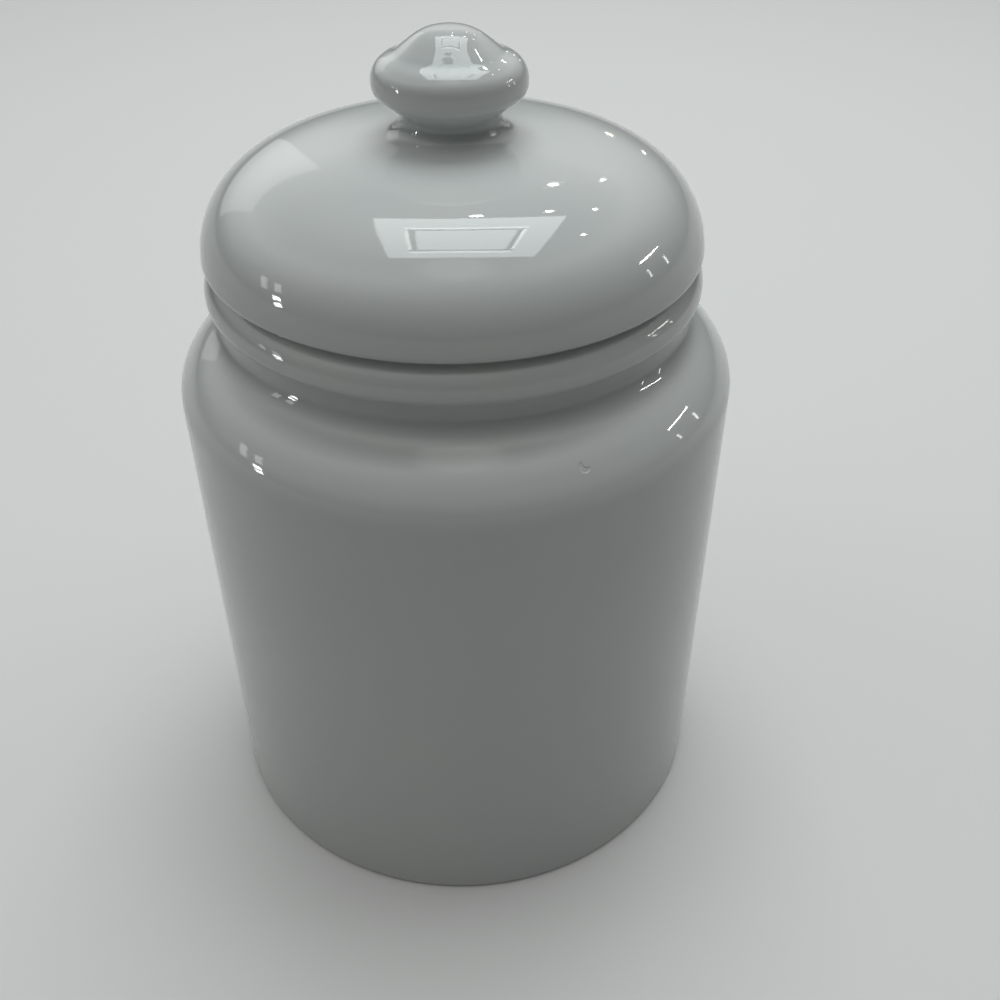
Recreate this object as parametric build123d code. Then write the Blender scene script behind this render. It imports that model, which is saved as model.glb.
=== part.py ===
from build123d import *
import os
from math import atan2, degrees, dist, hypot, sqrt, tan, radians

# A glazed ceramic biscuit jar with a lift-off domed lid.
# Millimetres, +Z up, origin at the centre of the ring that the jar stands on.
# Each piece is a wall turned about the jar's axis, so it is drawn as a half section
# of (radius, level) points and revolved.

# Jar, outside
body_radius = 80.0  # wall at the foot
body_draw_in = 0.6  # the wall leans in by this much up to the shoulder
body_height = 154.1  # foot to the corner that the shoulder rounds off
shoulder_round = 20.5
shoulder_rise = 10.75  # the shoulder climbs this much on its way in to the neck
neck_waist = 5.4  # the neck stands this much inside the rim
neck_root_round = 12.0  # the hollow sweep from the shoulder up to the neck
neck_height = 10.45  # foot of the neck to the rim's lower edge
rim_undercut = 3.1  # the rim's underside falls this much on its way in to the neck
rim_undercut_round = 1.0
rim_wall = 8.75  # mouth to the upright band of the rolled rim
rim_low_round = 3.6
rim_height = 9.9  # rim's lower edge to the seat of the lid
rim_round = 6.0  # the roll, between the upright band and the bevel
rim_bevel = 35.0  # degrees that the rim falls away outwards from the seat
rim_land = 2.4  # width of the flat seat before its edges are rounded
rim_land_round = 0.6

# Jar, inside and underneath
body_wall = 5.5
neck_wall = 6.5
floor_thickness = 7.0
floor_round = 12.0
mouth_radius = 59.5
mouth_depth = 10.0  # the mouth stays round and upright for this far
mouth_round = 10.0  # below that it eases in to the throat
throat_round = 5.0
foot_round = 3.0  # outer edge of the foot
foot_ring = 7.0  # width of the ring that touches the table
foot_ring_round = 0.7
foot_recess = 2.0  # the underside clears the table by this much
foot_recess_round = 1.2

# Lid
lid_setback = 0.45  # the lid's edge stops this much inside the rim
lid_rise = 30.45  # seat to the top of the crown
lid_shoulder_round = 23.5
lid_edge_round = 2.5
lid_wall = 5.0
lid_inner_round = 3.0
flange_clearance = 1.2  # play all round between the flange and the mouth
flange_depth = 8.7  # how far the flange reaches down inside the mouth
flange_wall = 4.5
flange_tip_round = 1.6
flange_root_round = 1.0

# Knob
knob_neck_radius = 13.1
knob_foot_round = 5.0  # hollow sweep from the crown up to the neck
knob_neck_round = 2.0
knob_neck_height = 1.0  # neck above the joint, before the bowl opens out
knob_radius = 19.9
knob_bowl_height = 6.7  # joint to the lower corner of the widest band
knob_bowl_round = 5.4
knob_band_height = 5.4
knob_band_round = 4.3
knob_waist_radius = 13.9
knob_waist_rise = 3.2  # widest band to the hollow under the knob's crown
knob_waist_round = 6.0
knob_crown_radius = 6.25
knob_crown_rise = 5.8
knob_crown_round = 11.0
vent_radius = 4.5  # vent up the middle of the knob, open to the inside of the lid
vent_depth = 11.0
vent_end_round = 3.0

# Arcs that meet on one wall keep at least this share of it straight between them.
least_straight = 0.02

# Levels and radii that follow
body_top_radius = body_radius - body_draw_in
rim_radius = mouth_radius + rim_wall
neck_radius = rim_radius - neck_waist
throat_radius = neck_radius - neck_wall
neck_level = body_height + shoulder_rise
rim_low_level = neck_level + neck_height
seat_level = rim_low_level + rim_height
land_outer = mouth_radius + rim_land
rim_corner_level = seat_level - (rim_radius - land_outer) * tan(radians(rim_bevel))
shoulder_slope = shoulder_rise / (body_top_radius - neck_radius)
inner_shoulder_level = body_height + body_wall * (shoulder_slope - hypot(1, shoulder_slope))
foot_outer = body_radius - foot_round
foot_inner = foot_outer - foot_ring
flange_radius = mouth_radius - flange_clearance
flange_inner = flange_radius - flange_wall
lid_radius = rim_radius - lid_setback

# The crown of the lid is an arc about the axis, tangent to the shoulder's arc.
shoulder_centre = lid_radius - lid_shoulder_round
crown_radius = (shoulder_centre**2 + lid_rise**2 - lid_shoulder_round**2) / (
    2 * (lid_rise - lid_shoulder_round)
)
crown_centre = seat_level + lid_rise - crown_radius
crown_angle = degrees(atan2(shoulder_centre, seat_level - crown_centre))

# The knob's foot is a hollow arc, tangent to the crown and upright at the neck.
foot_centre = knob_neck_radius + knob_foot_round
foot_reach = crown_radius + knob_foot_round
joint_level = crown_centre + sqrt(foot_reach**2 - foot_centre**2)
foot_angle = degrees(atan2(foot_centre, joint_level - crown_centre))


def eased(corners):
    """Radii for corners of (radius, level, rounding): arcs share the wall between them."""
    count = len(corners)
    points = [(radius, level) for radius, level, rounding in corners]
    radii = [rounding for radius, level, rounding in corners]
    tangents = []
    for index, corner in enumerate(points):
        before = Vector(*points[index - 1]) - Vector(*corner)
        after = Vector(*points[(index + 1) % count]) - Vector(*corner)
        tangents.append(radii[index] / tan(radians(before.get_angle(after)) / 2))
    limited = list(radii)
    for index in range(count):
        following = (index + 1) % count
        wall = dist(points[index], points[following]) * (1 - least_straight)
        share = min(1, wall / max(tangents[index] + tangents[following], wall))
        for corner in (index, following):
            limited[corner] = min(limited[corner], radii[corner] * share)
    return limited


def revolved(outline):
    """Turn a closed half section, already drawn on the XZ plane, about the axis."""
    return revolve(outline, axis=Axis.Z)


def rounded_section(corners):
    """Half section from corners of (radius, level, rounding), in order round the wall."""
    points = [(radius, level) for radius, level, rounding in corners]
    with BuildSketch(Plane.XZ) as section:
        with BuildLine():
            FilletPolyline(*points, radius=eased(corners), close=True)
        make_face()
    return section.sketch


def jar():
    """Foot, wall, shoulder, waisted neck and rolled rim, with an open mouth."""
    inner_top = body_top_radius - body_wall
    inner_bottom = body_radius - body_wall
    throat_level = inner_shoulder_level + shoulder_slope * (inner_top - throat_radius)
    outside = [
        (0, foot_recess, 0),
        (foot_inner, foot_recess, foot_recess_round),
        (foot_inner, 0, foot_ring_round),
        (body_radius, 0, foot_round),
        (body_top_radius, body_height, shoulder_round),
        (neck_radius, neck_level, neck_root_round),
        (neck_radius, rim_low_level - rim_undercut, rim_undercut_round),
        (rim_radius, rim_low_level, rim_low_round),
        (rim_radius, rim_corner_level, rim_round),
        (land_outer, seat_level, rim_land_round),
    ]
    inside = [
        (mouth_radius, seat_level, rim_land_round),
        (mouth_radius, seat_level - mouth_depth, mouth_round),
        (throat_radius, throat_level, throat_round),
        (inner_top, inner_shoulder_level, shoulder_round - body_wall),
        (inner_bottom, floor_thickness, floor_round),
        (0, floor_thickness, 0),
    ]
    return revolved(rounded_section(outside + inside))


def lid():
    """Dome with a turned-under edge, a locating flange and the knob's foot."""
    inner_shoulder = lid_shoulder_round - lid_wall
    inner_crown = crown_radius - lid_wall
    ledge_level = seat_level + lid_wall
    gutter_radius = shoulder_centre + sqrt(inner_shoulder**2 - lid_wall**2)
    flange = [
        (lid_radius, seat_level, 0),
        (flange_radius, seat_level, flange_root_round),
        (flange_radius, seat_level - flange_depth, flange_tip_round),
        (flange_inner, seat_level - flange_depth, flange_tip_round),
        (flange_inner, ledge_level, lid_inner_round),
        (gutter_radius, ledge_level, 0),
    ]
    with BuildSketch(Plane.XZ) as section:
        with BuildLine():
            foot = JernArc(
                (knob_neck_radius, joint_level), (0, -1), knob_foot_round, 90 - foot_angle
            )
            crown = JernArc(foot @ 1, foot % 1, crown_radius, foot_angle - crown_angle)
            JernArc(crown @ 1, crown % 1, lid_shoulder_round, crown_angle - 90)
            FilletPolyline(
                *[(radius, level) for radius, level, rounding in flange],
                radius=eased(flange)[1:-1],
            )
            start = degrees(atan2(lid_wall, gutter_radius - shoulder_centre))
            CenterArc(
                (shoulder_centre, seat_level),
                inner_shoulder,
                start,
                90 - crown_angle - start,
            )
            vent_angle = degrees(atan2(vent_radius, inner_crown))
            hollow_crown = CenterArc(
                (0, crown_centre), inner_crown, 90 - crown_angle, crown_angle - vent_angle
            )
            Polyline(
                hollow_crown @ 1,
                ((hollow_crown @ 1).X, joint_level),
                (knob_neck_radius, joint_level),
            )
        make_face()
        edge = section.vertices().sort_by_distance((lid_radius, seat_level))[0]
        fillet(edge, lid_edge_round)
        gutter = section.vertices().sort_by_distance((gutter_radius, ledge_level))[0]
        fillet(gutter, lid_inner_round)
    return revolved(section.sketch)


def knob():
    """Ogee knob with a blind vent up the middle, seated on the lid's raised foot."""
    band_top = knob_bowl_height + knob_band_height
    waist_height = band_top + knob_waist_rise
    knob_height = waist_height + knob_crown_rise
    corners = [
        (vent_radius, 0, 0),
        (knob_neck_radius, 0, 0),
        (knob_neck_radius, knob_neck_height, knob_neck_round),
        (knob_radius, knob_bowl_height, knob_bowl_round),
        (knob_radius, band_top, knob_band_round),
        (knob_waist_radius, waist_height, knob_waist_round),
        (knob_crown_radius, knob_height, knob_crown_round),
        (0, knob_height, 0),
        (0, vent_depth, 0),
        (vent_radius, vent_depth, vent_end_round),
    ]
    raised = [(radius, joint_level + height, rounding) for radius, height, rounding in corners]
    return revolved(rounded_section(raised))


os.makedirs("parts", exist_ok=True)
export_step(jar(), "parts/jar.step")
export_step(lid(), "parts/lid.step")
export_step(knob(), "parts/knob.step")
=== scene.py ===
import math

import bpy
from mathutils import Matrix, Vector


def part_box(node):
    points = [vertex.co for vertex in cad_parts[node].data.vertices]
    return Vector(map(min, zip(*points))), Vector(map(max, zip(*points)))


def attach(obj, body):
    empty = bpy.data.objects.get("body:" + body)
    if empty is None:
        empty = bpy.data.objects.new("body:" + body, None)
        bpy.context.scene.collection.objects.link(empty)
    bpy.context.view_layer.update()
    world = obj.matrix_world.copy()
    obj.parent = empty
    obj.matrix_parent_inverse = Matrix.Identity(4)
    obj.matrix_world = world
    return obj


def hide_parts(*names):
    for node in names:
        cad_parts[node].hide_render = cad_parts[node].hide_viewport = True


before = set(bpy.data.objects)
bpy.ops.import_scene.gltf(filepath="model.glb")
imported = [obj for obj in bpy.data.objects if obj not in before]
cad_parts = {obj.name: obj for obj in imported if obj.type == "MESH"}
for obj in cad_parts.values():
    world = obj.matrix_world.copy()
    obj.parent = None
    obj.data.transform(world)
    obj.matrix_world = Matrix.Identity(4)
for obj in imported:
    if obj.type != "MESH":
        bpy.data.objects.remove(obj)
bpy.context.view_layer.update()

# ---------------------------------------------------------------- sizes, in metres
mm = 0.001
facets = 256  # round each piece
steps_per_radian = 14  # rings round a corner
ease = 0.5  # how softly a corner's curve starts and ends: 0 is a plain arc
long_ease = 0.2  # the same, where two long curves run in to each other
join_distance = 0.01 * mm  # points closer than this are one
smooth_below = math.radians(40)  # edges flatter than this are shaded smooth

# What the frame gives
_, jar_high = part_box("jar")
lid_low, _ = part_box("lid")
knob_low, knob_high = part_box("knob")
seat_level = jar_high.z
joint_level = knob_low.z
body_radius = jar_high.x

# Jar, outside
body_draw_in = 0.6 * mm  # the wall leans in by this much up to the shoulder
body_height = 154.1 * mm  # foot to where the wall and the shoulder would meet unrounded
shoulder_low = 150.6 * mm  # the shoulder is rounded off at two corners, here on the wall
shoulder_low_round = 13.0 * mm
shoulder_top = (73.6 * mm, 158.6 * mm)  # and here on the climb to the neck
shoulder_top_round = 22.0 * mm
shoulder_rise = 10.75 * mm
neck_waist = 5.4 * mm  # the neck stands this much inside the rim
neck_root_round = 10.2 * mm
neck_height = 10.45 * mm
rim_undercut = 3.1 * mm
rim_undercut_round = 1.0 * mm
rim_wall = 8.75 * mm  # mouth to the rim's upright band
rim_low_round = 3.0 * mm
rim_round = 6.0 * mm
rim_bevel = math.radians(35)
rim_land = 2.4 * mm  # width of the flat seat
rim_land_round = 0.6 * mm

# Jar, inside and underneath
wall = 5.5 * mm
neck_wall = 6.5 * mm
floor_thickness = 7.0 * mm
floor_round = 12.0 * mm
mouth_radius = 59.5 * mm
mouth_depth = 10.0 * mm
mouth_round = 10.0 * mm
throat_round = 5.0 * mm
shoulder_inner_round = 15.0 * mm
foot_round = 2.0 * mm
foot_ring = 8.0 * mm
foot_ring_round = 0.7 * mm
foot_recess = 2.0 * mm
foot_recess_round = 1.2 * mm

# Lid
lid_setback = 0.45 * mm  # the lid's edge stops this much inside the rim
lid_rise = 30.45 * mm
lid_shoulder_round = 23.5 * mm
lid_edge_round = 2.5 * mm
lid_edge_share = 0.85  # of that rounding, where the dome runs in to the edge
lid_wall = 5.0 * mm
lid_inner_round = 3.0 * mm
dome_crown = 513 * mm  # the crown is nearly flat, and tightens in to the shoulder
dome_shoulder = 24.9 * mm
dome_middle = 30.0 * mm  # from the knob's foot, along the dome, to halfway between the two
dome_blend = 15.2 * mm  # the crown tightens this far to each side of that
dome_step = 1.2 * mm  # between two rings of the dome
flange_clearance = 1.2 * mm  # play between the flange and the mouth
flange_wall = 4.5 * mm
flange_tip_round = 1.6 * mm
flange_root_round = 1.0 * mm

# Knob
knob_neck_radius = 13.1 * mm
knob_foot_round = 5.0 * mm  # hollow sweep from the crown up to the neck
knob_neck_round = 1.6 * mm
knob_neck_height = 1.0 * mm
knob_radius = 19.9 * mm
knob_bowl_height = 6.2 * mm
knob_bowl_round = 3.8 * mm
knob_band_height = 6.7 * mm
knob_band_round = 6.0 * mm
knob_waist_radius = 13.85 * mm
knob_waist_rise = 2.35 * mm  # from the widest band to the hollow under the crown
knob_waist_round = 5.5 * mm
knob_crown_radius = 6.25 * mm
knob_crown_round = 13.0 * mm
vent_radius = 4.5 * mm  # vent up the middle, open to the inside of the lid
vent_depth = 11.0 * mm
vent_end_round = 3.0 * mm

# Levels and radii that follow
rim_radius = mouth_radius + rim_wall
neck_radius = rim_radius - neck_waist
neck_level = body_height + shoulder_rise
rim_low_level = neck_level + neck_height
land_outer = mouth_radius + rim_land
rim_corner_level = seat_level - (rim_radius - land_outer) * math.tan(rim_bevel)
throat_radius = neck_radius - neck_wall
body_top_radius = body_radius - body_draw_in
shoulder_slope = shoulder_rise / (body_top_radius - neck_radius)
inner_shoulder_level = body_height + wall * (shoulder_slope - math.hypot(1, shoulder_slope))
lid_radius = rim_radius - lid_setback
flange_radius = mouth_radius - flange_clearance
flange_inner = flange_radius - flange_wall
flange_tip_level = lid_low.z
shoulder_centre = lid_radius - lid_shoulder_round
crown_radius = (shoulder_centre**2 + lid_rise**2 - lid_shoulder_round**2) / (
    2 * (lid_rise - lid_shoulder_round)
)
crown_centre = seat_level + lid_rise - crown_radius
crown_angle = math.atan2(shoulder_centre, seat_level - crown_centre)
foot_angle = math.atan2(knob_neck_radius + knob_foot_round, joint_level - crown_centre)


# ---------------------------------------------------------------- outlines
def led_on(start, heading, bends, step):
    """A line led on from start in equal steps, turned by each of bends in radians."""
    points = [start]
    for bend in bends:
        heading = Matrix.Rotation(bend, 2) @ heading
        points.append(points[-1] + heading * step)
    return points


def eased_corner(before, corner, after, rounding, ease=ease):
    """Points round one corner of an outline, on a curve that tightens and slackens softly."""
    into = (corner - before).normalized()
    turn = -into.angle_signed((after - corner).normalized())
    steps = 2 * max(3, round(abs(turn) * steps_per_radian / 2))
    share = [1 - ease * math.cos(2 * math.pi * (i + 0.5) / steps) for i in range(steps)]
    bends = [turn * each / steps for each in share]
    bends = [bends[0] / 2] + [(a + b) / 2 for a, b in zip(bends, bends[1:])]
    path = led_on(Vector((0, 0)), into, bends, 1)
    reach = path[-1].length / (2 * math.cos(turn / 2))
    depth = (into * reach - path[steps // 2]).length
    scale = rounding * (1 / math.cos(turn / 2) - 1) / depth
    start = corner - into * reach * scale
    return [start + point * scale for point in path]


def rounded(corners):
    """An outline through corners of (radius, level, rounding), with an ease where it differs."""
    points = [Vector(corner[:2]) for corner in corners]
    outline = [points[0]]
    for index in range(1, len(corners) - 1):
        rounding = corners[index][2:]
        if rounding[0]:
            outline += eased_corner(*points[index - 1 : index + 2], *rounding)
        else:
            outline.append(points[index])
    outline.append(points[-1])
    return outline


def arc(centre, radius, start, end):
    """Points on an arc from one angle to another, both measured from straight up."""
    steps = max(3, round(abs(end - start) * steps_per_radian))
    angles = [start + (end - start) * i / steps for i in range(steps + 1)]
    return [centre + radius * Vector((math.sin(angle), math.cos(angle))) for angle in angles]


def dome(start, end, first_angle, last_angle):
    """A dome's outline, whose flat crown tightens little by little in to its shoulder."""
    tighter = 1 / dome_shoulder - 1 / dome_crown
    length = (last_angle - first_angle + tighter * dome_middle) * dome_shoulder
    steps = round(length / dome_step)
    step = length / steps
    bends = []
    for index in range(steps):
        past = ((index + 0.5) * step - dome_middle) / dome_blend
        share = min(1, max(0, 0.5 + past / 2))
        bends.append(-step * (1 / dome_crown + share * tighter))
    heading = Vector((math.cos(first_angle), -math.sin(first_angle)))
    path = led_on(Vector((0, 0)), heading, bends, step)
    wide, tall = (end.x - start.x) / path[-1].x, (end.y - start.y) / path[-1].y
    return [start + Vector((point.x * wide, point.y * tall)) for point in path]


# ---------------------------------------------------------------- turned pieces
def turned(name, outline):
    """A wall drawn point by point beside the axis, then spun round it."""
    bpy.ops.object.select_all(action="DESELECT")
    bpy.ops.mesh.primitive_plane_add(size=mm, location=(0, 0, 0))
    piece = bpy.context.object
    piece.name = piece.data.name = name
    bpy.ops.object.mode_set(mode="EDIT")
    bpy.ops.mesh.select_all(action="SELECT")
    bpy.ops.mesh.merge(type="CENTER")
    bpy.ops.transform.translate(value=(outline[0].x, 0, outline[0].y))
    for last, point in zip(outline, outline[1:]):
        step = point - last
        bpy.ops.mesh.extrude_region_move(
            TRANSFORM_OT_translate={"value": (step.x, 0, step.y)}
        )
    bpy.ops.mesh.select_all(action="SELECT")
    bpy.ops.mesh.spin(
        steps=facets, angle=2 * math.pi, center=(0, 0, 0), axis=(0, 0, 1), use_auto_merge=True
    )
    bpy.ops.mesh.select_all(action="SELECT")
    bpy.ops.mesh.remove_doubles(threshold=join_distance)
    bpy.ops.mesh.delete_loose(use_verts=True, use_edges=True, use_faces=False)
    bpy.ops.mesh.select_all(action="SELECT")
    bpy.ops.mesh.normals_make_consistent(inside=False)
    bpy.ops.object.mode_set(mode="OBJECT")
    bpy.ops.object.shade_smooth_by_angle(angle=smooth_below)
    return piece


def jar():
    """Foot, wall, shoulder, waisted neck and rolled rim, with an open mouth."""
    inner_top = body_top_radius - wall
    inner_bottom = body_radius - wall
    throat_level = inner_shoulder_level + shoulder_slope * (inner_top - throat_radius)
    foot_inner = body_radius - foot_round - foot_ring
    corners = [
        (0, foot_recess, 0),
        (foot_inner, foot_recess, foot_recess_round, 0),
        (foot_inner, 0, foot_ring_round, 0),
        (body_radius, 0, foot_round),
        (body_top_radius, shoulder_low, shoulder_low_round, long_ease),
        (*shoulder_top, shoulder_top_round, long_ease),
        (neck_radius, neck_level, neck_root_round, long_ease),
        (neck_radius, rim_low_level - rim_undercut, rim_undercut_round),
        (rim_radius, rim_low_level, rim_low_round, long_ease),
        (rim_radius, rim_corner_level, rim_round, long_ease),
        (land_outer, seat_level, rim_land_round),
        (mouth_radius, seat_level, rim_land_round),
        (mouth_radius, seat_level - mouth_depth, mouth_round),
        (throat_radius, throat_level, throat_round),
        (inner_top, inner_shoulder_level, shoulder_inner_round),
        (inner_bottom, floor_thickness, floor_round),
        (0, floor_thickness, 0),
    ]
    return turned("jar_body", rounded(corners))


def lid():
    """Dome with a turned-under edge, a locating flange and the knob's foot."""
    inner_shoulder = lid_shoulder_round - lid_wall
    ledge_level = seat_level + lid_wall
    gutter_radius = shoulder_centre + math.sqrt(inner_shoulder**2 - lid_wall**2)
    quarter = math.pi / 2
    foot_centre = Vector((knob_neck_radius + knob_foot_round, joint_level))
    foot = arc(foot_centre, knob_foot_round, -quarter, foot_angle - math.pi)
    centre = Vector((shoulder_centre, seat_level))
    edge_angle = math.acos(lid_edge_round / lid_shoulder_round)
    edge = centre + lid_shoulder_round * Vector((math.sin(edge_angle), math.cos(edge_angle)))
    outside = dome(foot[-1], edge, foot_angle, edge_angle)
    under = [
        (*outside[-1], 0),
        (lid_radius, seat_level, lid_edge_share * lid_edge_round, long_ease),
        (flange_radius, seat_level, flange_root_round),
        (flange_radius, flange_tip_level, flange_tip_round),
        (flange_inner, flange_tip_level, flange_tip_round),
        (flange_inner, ledge_level, lid_inner_round),
        (gutter_radius, ledge_level, 0),
    ]
    start = quarter - math.atan2(lid_wall, gutter_radius - shoulder_centre)
    inside = arc(centre, inner_shoulder, start, crown_angle)
    vent_angle = math.asin(vent_radius / (crown_radius - lid_wall))
    inside += arc(Vector((0, crown_centre)), crown_radius - lid_wall, crown_angle, vent_angle)[1:]
    vent_top = [Vector((vent_radius, joint_level))]
    outline = vent_top + foot + outside[1:] + rounded(under)[1:] + inside[1:] + vent_top
    return turned("domed_lid", outline)


def knob():
    """Ogee knob with a blind vent up the middle, seated on the lid's raised foot."""
    band_top = knob_bowl_height + knob_band_height
    waist_height = band_top + knob_waist_rise
    knob_height = knob_high.z - joint_level
    corners = [
        (vent_radius, 0, 0),
        (knob_neck_radius, 0, 0),
        (knob_neck_radius, knob_neck_height, knob_neck_round),
        (knob_radius, knob_bowl_height, knob_bowl_round, long_ease),
        (knob_radius, band_top, knob_band_round, long_ease),
        (knob_waist_radius, waist_height, knob_waist_round),
        (knob_crown_radius, knob_height, knob_crown_round),
        (0, knob_height, 0),
        (0, vent_depth, 0),
        (vent_radius, vent_depth, vent_end_round),
        (vent_radius, 0, 0),
    ]
    raised = [(radius, joint_level + height, *rest) for radius, height, *rest in corners]
    return turned("ogee_knob", rounded(raised))


jar_body = jar()
domed_lid = lid()
ogee_knob = knob()

for piece, node, body in (
    (jar_body, "jar", "jar"),
    (domed_lid, "lid", "lid"),
    (ogee_knob, "knob", "lid"),
):
    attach(piece, body)
    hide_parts(node)


# ---------------------------------------------------------------- glaze
glaze_white = (0.708, 0.722, 0.710, 1)
glaze_cool = (0.680, 0.706, 0.700, 1)  # where the glaze lies a little thicker
glaze_pooled = (0.560, 0.618, 0.606, 1)  # where it gathers in a hollow
glaze_thin = (0.760, 0.752, 0.722, 1)  # where it runs off an edge and the body shows
speck_brown = (0.150, 0.122, 0.098, 1)
bare_clay = (0.640, 0.585, 0.510, 1)

# Marks of the making, on the jar only
dent_place = (29.9 * mm, -67.8 * mm, 156.6 * mm)  # a half-moon nick in the shoulder
dent_rest = (30.6 * mm, -67.0 * mm, 157.5 * mm)
dimple_place = (36.6 * mm, -51.9 * mm, 161.6 * mm)
speck_place = (-29.9 * mm, -61.0 * mm, 174.8 * mm)

# Levels at which the glaze gathers or thins: (level, half width, how much)
pooled_levels = (
    (neck_level + 2.0 * mm, 4.0 * mm, 0.3),
    (joint_level - 1.5 * mm, 2.6 * mm, 0.6),
    (knob_high.z - 5.6 * mm, 1.8 * mm, 0.35),
)
thin_levels = ((joint_level + knob_bowl_height + 1.2 * mm, 1.6 * mm, 0.25),)


# How the glaze is mottled: (scale per metre, detail, roughness) of a noise
cloud_noise = (16, 4, 0.55)
gloss_noise = (28,)
wander_noise = (140,)  # how the edge of the glaze wanders
grain_noise = (2600, 2)  # grain of the bare clay
ring_noise = (9, 3, 0.6)  # rings that the turning left
ring_stretch = (1, 1, 22)
peel_noise = (210, 1)
speck_scatter = (38, 0.33 * mm, 0.09)  # cells per metre, radius, share of the cells
pinhole_scatter = (52, 0.45 * mm, 0.12)
speck_cover = 0.75
nick_cover = 0.3
edge_wander = 0.35 * mm
edge_blur = 0.15 * mm

# Relief of the surface, in millimetres
ring_height = 0.035
peel_height = 0.006
pinhole_depth = 0.05
clay_height = 0.08
nick_depth = 0.16
dimple_depth = 0.10

# Gloss
glaze_roughness = (0.03, 0.06)
clay_roughness = 0.8
glaze_ior = 1.56


class Nodes:
    """Shader nodes of one material, added and joined by short calls."""

    def __init__(self, material):
        self.tree = material.node_tree
        self.place = self.add("ShaderNodeTexCoord").outputs["Object"]

    def add(self, kind, inputs=None, **settings):
        node = self.tree.nodes.new(kind)
        for name, value in settings.items():
            setattr(node, name, value)
        for name, value in (inputs or {}).items():
            if isinstance(value, bpy.types.NodeSocket):
                self.tree.links.new(value, node.inputs[name])
            else:
                node.inputs[name].default_value = value
        return node

    def math(self, operation, first, second=0.0):
        node = self.add("ShaderNodeMath", {0: first, 1: second}, operation=operation)
        return node.outputs[0]

    def noise(self, scale, detail=3, roughness=0.5, place=None):
        inputs = {
            "Vector": place or self.place,
            "Scale": scale,
            "Detail": detail,
            "Roughness": roughness,
        }
        return self.add("ShaderNodeTexNoise", inputs).outputs["Fac"]

    def ramp(self, value, start, end, low=0.0, high=1.0):
        """Value taken softly from low at start to high at end, and held beyond them."""
        inputs = {"Value": value, "From Min": start, "From Max": end}
        inputs.update({"To Min": low, "To Max": high})
        node = self.add("ShaderNodeMapRange", inputs, interpolation_type="SMOOTHSTEP")
        return node.outputs["Result"]

    def mix(self, share, first, second):
        node = self.add("ShaderNodeMix", data_type="RGBA")
        for name, value in (("Factor", share), ("A", first), ("B", second)):
            socket = next(s for s in node.inputs if s.name == name and s.enabled)
            if isinstance(value, bpy.types.NodeSocket):
                self.tree.links.new(value, socket)
            else:
                socket.default_value = value
        return next(s for s in node.outputs if s.enabled)

    def distance(self, point):
        inputs = {0: self.place, 1: point}
        node = self.add("ShaderNodeVectorMath", inputs, operation="DISTANCE")
        return node.outputs["Value"]

    def level(self):
        return self.add("ShaderNodeSeparateXYZ", {0: self.place}).outputs["Z"]

    def bands(self, level, wanted):
        """One mask for bands of (level, half width, how much)."""
        total = 0.0
        for middle, half, share in wanted:
            away = self.math("ABSOLUTE", self.math("SUBTRACT", level, middle))
            band = self.ramp(away, half, 0.0, 0.0, share)
            total = self.math("MAXIMUM", band, total)
        return total

    def spots(self, scale, radius, share):
        """Round spots of a radius in metres, in that share of the cells of a scatter."""
        cells = self.add("ShaderNodeTexVoronoi", {"Vector": self.place, "Scale": scale})
        spot = self.ramp(cells.outputs["Distance"], radius * scale, 0.6 * radius * scale)
        red = self.add("ShaderNodeSeparateColor", {0: cells.outputs["Color"]}).outputs["Red"]
        chosen = self.math("LESS_THAN", red, share)
        return self.math("MULTIPLY", spot, chosen)


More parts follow.
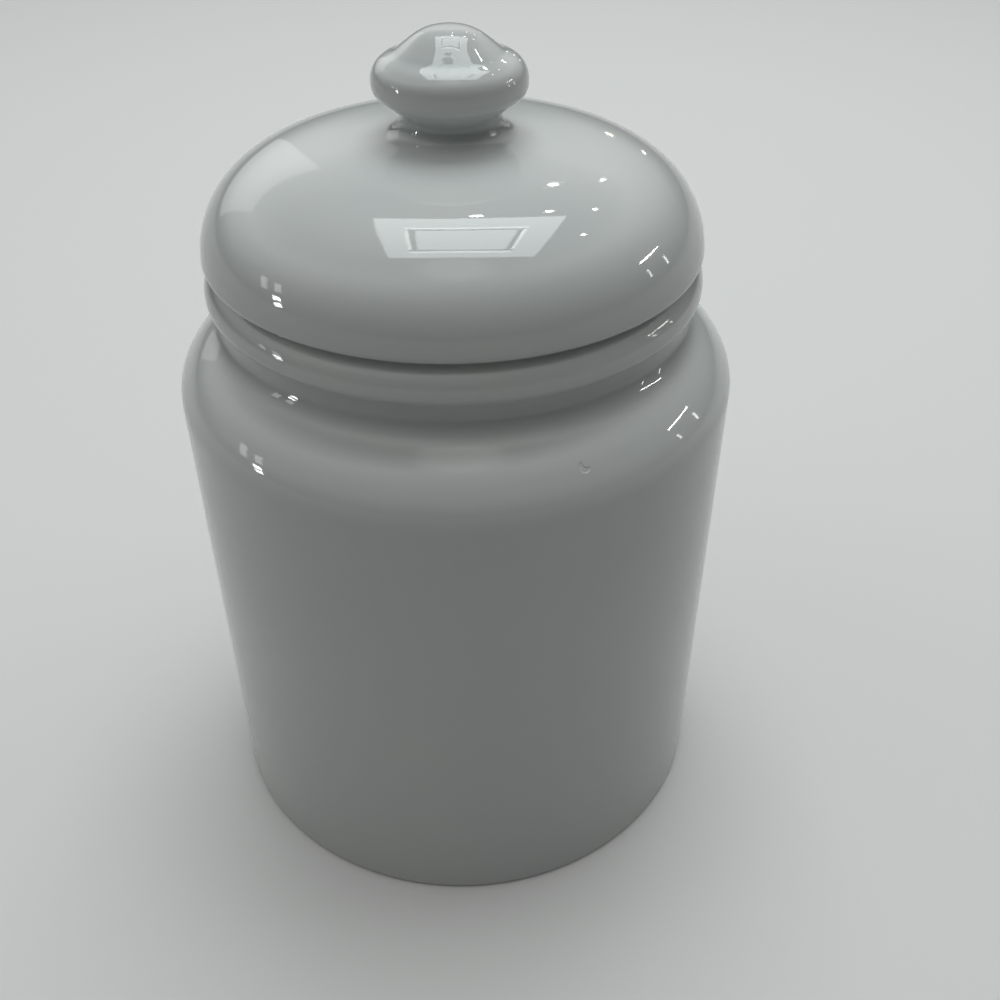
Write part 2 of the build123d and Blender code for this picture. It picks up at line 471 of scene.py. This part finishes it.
def glaze(name, bare_below):
    """A glossy white glaze over a pale body, bare up to one level."""
    material = bpy.data.materials.new(name)
    material.use_nodes = True
    nodes = Nodes(material)
    level = nodes.level()

    # Colour: cloudy, gathered in hollows, thin on edges, a few specks of iron
    cloud = nodes.ramp(nodes.noise(*cloud_noise), 0.35, 0.68)
    colour = nodes.mix(cloud, glaze_white, glaze_cool)
    colour = nodes.mix(nodes.bands(level, pooled_levels), colour, glaze_pooled)
    colour = nodes.mix(nodes.bands(level, thin_levels), colour, glaze_thin)
    specks = nodes.spots(*speck_scatter)
    colour = nodes.mix(nodes.math("MULTIPLY", specks, speck_cover), colour, speck_brown)
    speck = nodes.ramp(nodes.distance(speck_place), 0.7 * mm, 0.3 * mm, 0.0, 0.8)
    colour = nodes.mix(speck, colour, speck_brown)
    half_moon = nodes.math(
        "MULTIPLY",
        nodes.ramp(nodes.distance(dent_place), 1.8 * mm, 1.4 * mm),
        nodes.ramp(nodes.distance(dent_rest), 1.2 * mm, 1.7 * mm),
    )
    colour = nodes.mix(nodes.math("MULTIPLY", half_moon, nick_cover), colour, glaze_thin)

    # Bare clay, up to an edge that wanders as a wiped glaze does
    wander = nodes.ramp(nodes.noise(*wander_noise), 0.3, 0.7, -edge_wander, edge_wander)
    height = nodes.math("ADD", level, wander)
    bare = nodes.ramp(height, bare_below + edge_blur, bare_below - edge_blur)
    grain = nodes.noise(*grain_noise)
    clay = nodes.mix(nodes.ramp(grain, 0.3, 0.7, 0.0, 0.5), bare_clay, glaze_thin)
    colour = nodes.mix(bare, colour, clay)

    # Gloss: nearly even, a touch softer in clouds, and matt where it is bare
    gloss = nodes.ramp(nodes.noise(*gloss_noise), 0.3, 0.75, *glaze_roughness)
    roughness = nodes.add(
        "ShaderNodeMix", {"Factor": bare, "A": gloss, "B": clay_roughness}, data_type="FLOAT"
    ).outputs["Result"]

    # Relief: turning rings, orange peel, pinholes, grain of the clay, nick and dimple
    stretched = nodes.add("ShaderNodeMapping", {0: nodes.place, "Scale": ring_stretch})
    rings = nodes.noise(*ring_noise, stretched.outputs[0])
    rings = nodes.math("MULTIPLY", rings, ring_height)
    peel = nodes.math("MULTIPLY", nodes.noise(*peel_noise), peel_height)
    pinholes = nodes.math("MULTIPLY", nodes.spots(*pinhole_scatter), -pinhole_depth)
    rough_clay = nodes.math("MULTIPLY", nodes.math("MULTIPLY", grain, bare), clay_height)
    nick = nodes.math("MULTIPLY", half_moon, -nick_depth)
    away = nodes.distance(dimple_place)
    dimple = nodes.ramp(away, 1.3 * mm, 0.2 * mm, 0.0, -dimple_depth)
    surface = rings
    for part in (peel, pinholes, rough_clay, nick, dimple):
        surface = nodes.math("ADD", surface, part)
    bump = nodes.add("ShaderNodeBump", {"Strength": 1.0, "Distance": mm, "Height": surface})

    shader = material.node_tree.nodes["Principled BSDF"]
    shader.inputs["IOR"].default_value = glaze_ior
    links = material.node_tree.links
    links.new(colour, shader.inputs["Base Color"])
    links.new(roughness, shader.inputs["Roughness"])
    links.new(bump.outputs["Normal"], shader.inputs["Normal"])
    return material


for piece, bare_below in (
    (jar_body, 0.35 * mm),
    (domed_lid, flange_tip_level + 0.9 * mm),
    (ogee_knob, 0.0),
):
    piece.data.materials.clear()
    piece.data.materials.append(glaze(piece.name + "_glaze", bare_below))


# ---------------------------------------------------------------- studio
floor_seen = (0.875, 0.87, 0.865, 1)
floor_lighting = (0.395, 0.395, 0.39, 1)  # the grey that it throws back on the jar
backdrop = (0.56, 0.565, 0.56, 1)
floor_size = 24
ceiling = 1.7
window_turn = math.radians(-2.75)  # the ceiling window is turned by this much from X
downlight_size = 0.065
downlight_radiance = 26
room_eye = (0, 0, 0.18)  # the lamps of the room are placed as seen from here
room_reach = 3.0  # how far off they are


def floor():
    """A plain pale floor, paler to look at than in the light that it throws up."""
    bpy.ops.object.select_all(action="DESELECT")
    bpy.ops.mesh.primitive_plane_add(size=floor_size)
    ground = bpy.context.object
    ground.name = "studio_floor"
    material = bpy.data.materials.new("pale_floor")
    material.use_nodes = True
    nodes = Nodes(material)
    ray = nodes.add("ShaderNodeLightPath").outputs
    seen = nodes.math("MAXIMUM", ray["Is Camera Ray"], ray["Is Glossy Ray"])
    shader = material.node_tree.nodes["Principled BSDF"]
    colour = nodes.mix(seen, floor_lighting, floor_seen)
    material.node_tree.links.new(colour, shader.inputs["Base Color"])
    shader.inputs["Roughness"].default_value = 0.9
    shader.inputs["Specular IOR Level"].default_value = 0.1
    ground.data.materials.append(material)


def lamp(
    name, place, aim, size, radiance, colour=(1, 1, 1), round_shape=False, spin=0, lights=False
):
    """A flat lamp, turned to face aim, that the glaze mirrors and that may light the piece."""
    light = bpy.data.lights.new(name, "AREA")
    light.shape = "ELLIPSE" if round_shape else "RECTANGLE"
    light.size, light.size_y = size
    light.color = colour
    area = size[0] * size[1] * (math.pi / 4 if round_shape else 1)
    light.energy = radiance * math.pi * area
    holder = bpy.data.objects.new(name, light)
    bpy.context.scene.collection.objects.link(holder)
    holder.location = place
    facing = (Vector(aim) - Vector(place)).to_track_quat("-Z", "Y").to_matrix()
    holder.rotation_euler = (facing @ Matrix.Rotation(spin, 3, "Z")).to_euler()
    holder.visible_diffuse = lights
    holder.visible_camera = False


def ceiling_light(name, left, right, near, far, radiance, colour=(0.93, 1, 1)):
    """One flat light of the ceiling window, whose sides are turned a little from X and Y."""
    middle = Matrix.Rotation(window_turn, 2) @ Vector(((left + right) / 2, (near + far) / 2))
    size = (right - left, far - near)
    place, aim = (*middle, ceiling), (*middle, 0)
    lamp(name, place, aim, size, radiance, colour, False, window_turn, True)


def ceiling_window():
    """A big soft panel with a framed pane in it."""
    left, right, near, far = -0.47, 0.60, -0.01, 1.08
    pane_left, pane_right, pane_near, pane_far = -0.30, 0.38, 0.11, 0.80
    edge, gap = 0.045, 0.035
    soft, bright, bright_right, pane = 3.3, 6.4, 7.0, 3.7
    ceiling_light("panel_far", left, right, pane_far, far, soft)
    ceiling_light("panel_near", left, right, near, pane_near, soft)
    ceiling_light("panel_left", left, pane_left, pane_near, pane_far, soft)
    ceiling_light("panel_right", pane_right, right, pane_near, pane_far, soft)
    ceiling_light("frame_far", pane_left, pane_right, pane_far - edge, pane_far, bright)
    ceiling_light("frame_near", pane_left, pane_right, pane_near, pane_near + edge, bright)
    inner_near, inner_far = pane_near + edge + gap, pane_far - edge - gap
    ceiling_light("frame_left", pane_left, pane_left + edge / 2, inner_near, inner_far, bright)
    bar = pane_right - edge / 2
    ceiling_light("frame_right", bar, pane_right, inner_near, inner_far, bright_right)
    inner_left, inner_right = pane_left + edge / 2 + gap, bar - gap
    ceiling_light("pane", inner_left, inner_right, inner_near, inner_far, pane)


def downlights():
    """Small round lamps in the ceiling."""
    spots = (
        (0.09, 1.88),
        (0.11, 1.15),
        (0.51, 2.10),
        (0.51, 1.21),
        (0.94, 2.33),
        (0.90, 1.26),
        (0.93, 0.55),
    )
    for number, (x, y) in enumerate(spots, 1):
        place, aim, size = (x, y, ceiling), (x, y, 0), (downlight_size, downlight_size)
        name = f"downlight_{number}"
        lamp(name, place, aim, size, downlight_radiance, (1, 1, 0.98), True)


def far_lamp(name, azimuth, elevation, wide, tall, radiance, colour=(1, 1, 1), spin=0):
    """A lamp out in the room: where it is seen from the jar and how big, in degrees."""
    turn, rise = math.radians(azimuth), math.radians(elevation)
    out = Vector(
        (math.cos(turn) * math.cos(rise), math.sin(turn) * math.cos(rise), math.sin(rise))
    )
    size = (math.radians(wide) * room_reach, math.radians(tall) * room_reach)
    place = Vector(room_eye) + out * room_reach
    lamp(name, place, room_eye, size, radiance, colour, False, math.radians(spin))


def room_lamps():
    """Side windows at the left, a tube on two legs at the right, and lamps far behind."""
    far_lamp("side_window_upper", -170.7, 6.8, 4.2, 3.4, 22, spin=25)
    far_lamp("side_window_lower", -169.0, 2.2, 4.2, 3.0, 22, spin=25)
    far_lamp("side_window_head", -172.7, 15.4, 3.8, 6.8, 2.6, spin=25)
    far_lamp("side_window_left", 179.5, 12.8, 3.8, 9.0, 2.2, spin=25)
    far_lamp("tube", 11.0, 20.7, 14.0, 1.2, 26, spin=-10)
    far_lamp("tube_leg_near", 3.4, 10.4, 1.1, 7.0, 8)
    far_lamp("tube_leg_far", 15.6, 8.2, 1.1, 7.0, 8)
    far_lamp("pale_curtain", 120.0, 16.0, 28.0, 23.0, 0.5)
    far_lamp("warm_lamp_near", 74.7, 11.1, 1.2, 1.2, 9, (1, 0.86, 0.62))
    far_lamp("warm_lamp_far", 67.8, 9.1, 1.2, 1.2, 9, (1, 0.93, 0.8))


def soft_dome():
    """Soft light from all round, dimmer near the floor, with a glow right overhead."""
    surroundings = bpy.data.worlds.new("soft_dome")
    surroundings.use_nodes = True
    tree = surroundings.node_tree
    background = tree.nodes["Background"]
    nodes = Nodes(surroundings)
    way = nodes.add("ShaderNodeTexCoord").outputs["Generated"]

    def along(lean, turn):
        """How far each way points along an axis that leans from upright, in degrees."""
        lean, turn = math.radians(lean), math.radians(turn)
        flat = math.sin(lean)
        axis = (flat * math.cos(turn), flat * math.sin(turn), math.cos(lean))
        node = nodes.add("ShaderNodeVectorMath", {0: way, 1: axis}, operation="DOT_PRODUCT")
        return node.outputs["Value"]

    ramp = nodes.add("ShaderNodeValToRGB", {0: along(23, 106)})
    stops = ramp.color_ramp.elements
    light = ((0.0, 0.0), (0.15, 0.035), (0.4, 0.22), (0.7, 0.90), (0.88, 0.08), (1.0, 0.02))
    stops[0].position, stops[1].position = light[0][0], light[-1][0]
    for position, brightness in light[1:-1]:
        stops.new(position)
    for stop, (position, brightness) in zip(stops, light):
        stop.color = (brightness * 0.985, brightness, brightness * 0.985, 1)
    height = nodes.add("ShaderNodeSeparateXYZ", {0: way}).outputs["Z"]
    horizon = nodes.ramp(height, 0.03, 0.26)
    lit = nodes.mix(horizon, (0, 0, 0, 1), ramp.outputs["Color"])
    glow = nodes.ramp(along(11, -90), 0.97, 0.995, 0.0, 0.8)
    lit = nodes.add("ShaderNodeVectorMath", {0: lit, 1: glow}, operation="ADD").outputs[0]
    seen = nodes.add("ShaderNodeLightPath").outputs["Is Camera Ray"]
    shown = nodes.mix(seen, lit, backdrop)
    tree.links.new(shown, background.inputs["Color"])
    bpy.context.scene.world = surroundings


floor()
ceiling_window()
downlights()
room_lamps()
soft_dome()
bpy.context.scene.view_settings.view_transform = "Standard"


# ---------------------------------------------------------------- camera
camera_place = (0, -0.2821, 0.3136)
camera_down = math.radians(37.8)  # below the horizon
camera_turn = math.radians(-2.55)


def camera():
    """Looks down on the jar from in front, close up."""
    data = bpy.data.cameras.new("camera")
    data.sensor_width = 36
    data.lens = 39.6
    data.clip_start = 0.01
    viewer = bpy.data.objects.new("camera", data)
    bpy.context.scene.collection.objects.link(viewer)
    viewer.location = camera_place
    viewer.rotation_euler = (math.pi / 2 - camera_down, 0, camera_turn)
    bpy.context.scene.camera = viewer


camera()
